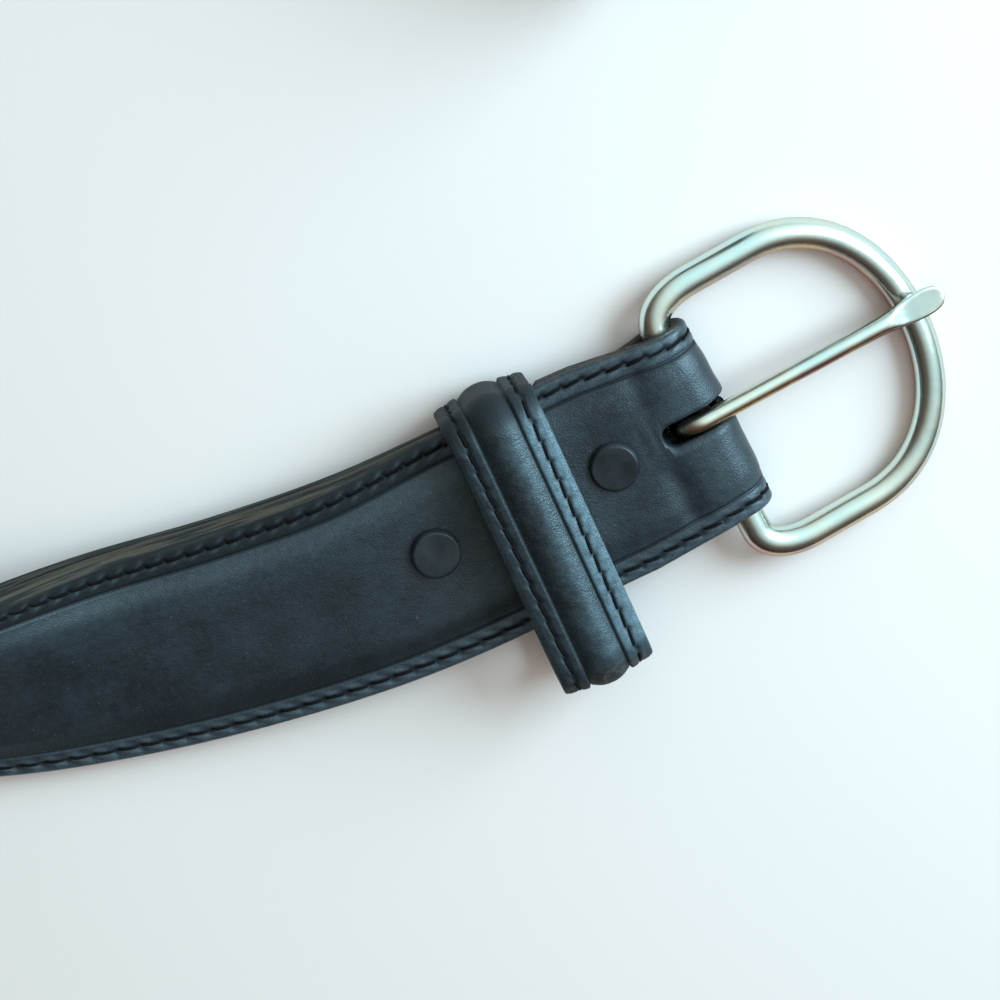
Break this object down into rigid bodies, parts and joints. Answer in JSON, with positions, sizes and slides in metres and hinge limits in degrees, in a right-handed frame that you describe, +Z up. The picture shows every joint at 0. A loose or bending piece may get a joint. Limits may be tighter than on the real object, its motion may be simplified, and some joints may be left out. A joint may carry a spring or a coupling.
{
  "type": "western belt",
  "caption": "Black leather western belt in an open loop, with a stitched raised strap, a snapped fold, a keeper and a rounded wire buckle with its tongue.",
  "frame": {"origin": "the middle of the keeper's flat foot, on the surface that the belt rests on", "axes": "+X along the tongue to the front of the buckle, +Y across the strap to the side that the loop stands on, +Z up from the surface"},
  "size_m": [0.3438, 0.3964, 0.0462],
  "materials": {
    "black_leather": "waxed black leather with a fine pebble and a cool sheen, worn paler on the stitched borders",
    "lining_leather": "dull dark leather with a burnished olive-brown edge",
    "black_enamel": "satin black enamel on a domed metal cap",
    "nickel_plate": "polished nickel plate"
  },
  "bodies": {
    "strap": {"strap_face": "black_leather", "strap_lining": "lining_leather", "keeper": "black_leather", "snap_front": "black_enamel", "snap_rear": "black_enamel"},
    "frame": {"buckle_frame": "nickel_plate"},
    "tongue": {"buckle_tongue": "nickel_plate"}
  },
  "joints": [
    {"name": "frame_hinge", "type": "hinge", "parent": "strap", "child": "frame", "pos_m": [0.03875, 0.00347, 0.0067], "axis": [0, -1, 0], "range_deg": [-90, 20]},
    {"name": "tongue_hinge", "type": "hinge", "parent": "frame", "child": "tongue", "pos_m": [0.03875, 0.00347, 0.0067], "axis": [0, -1, 0], "range_deg": [0, 75]}
  ]
}
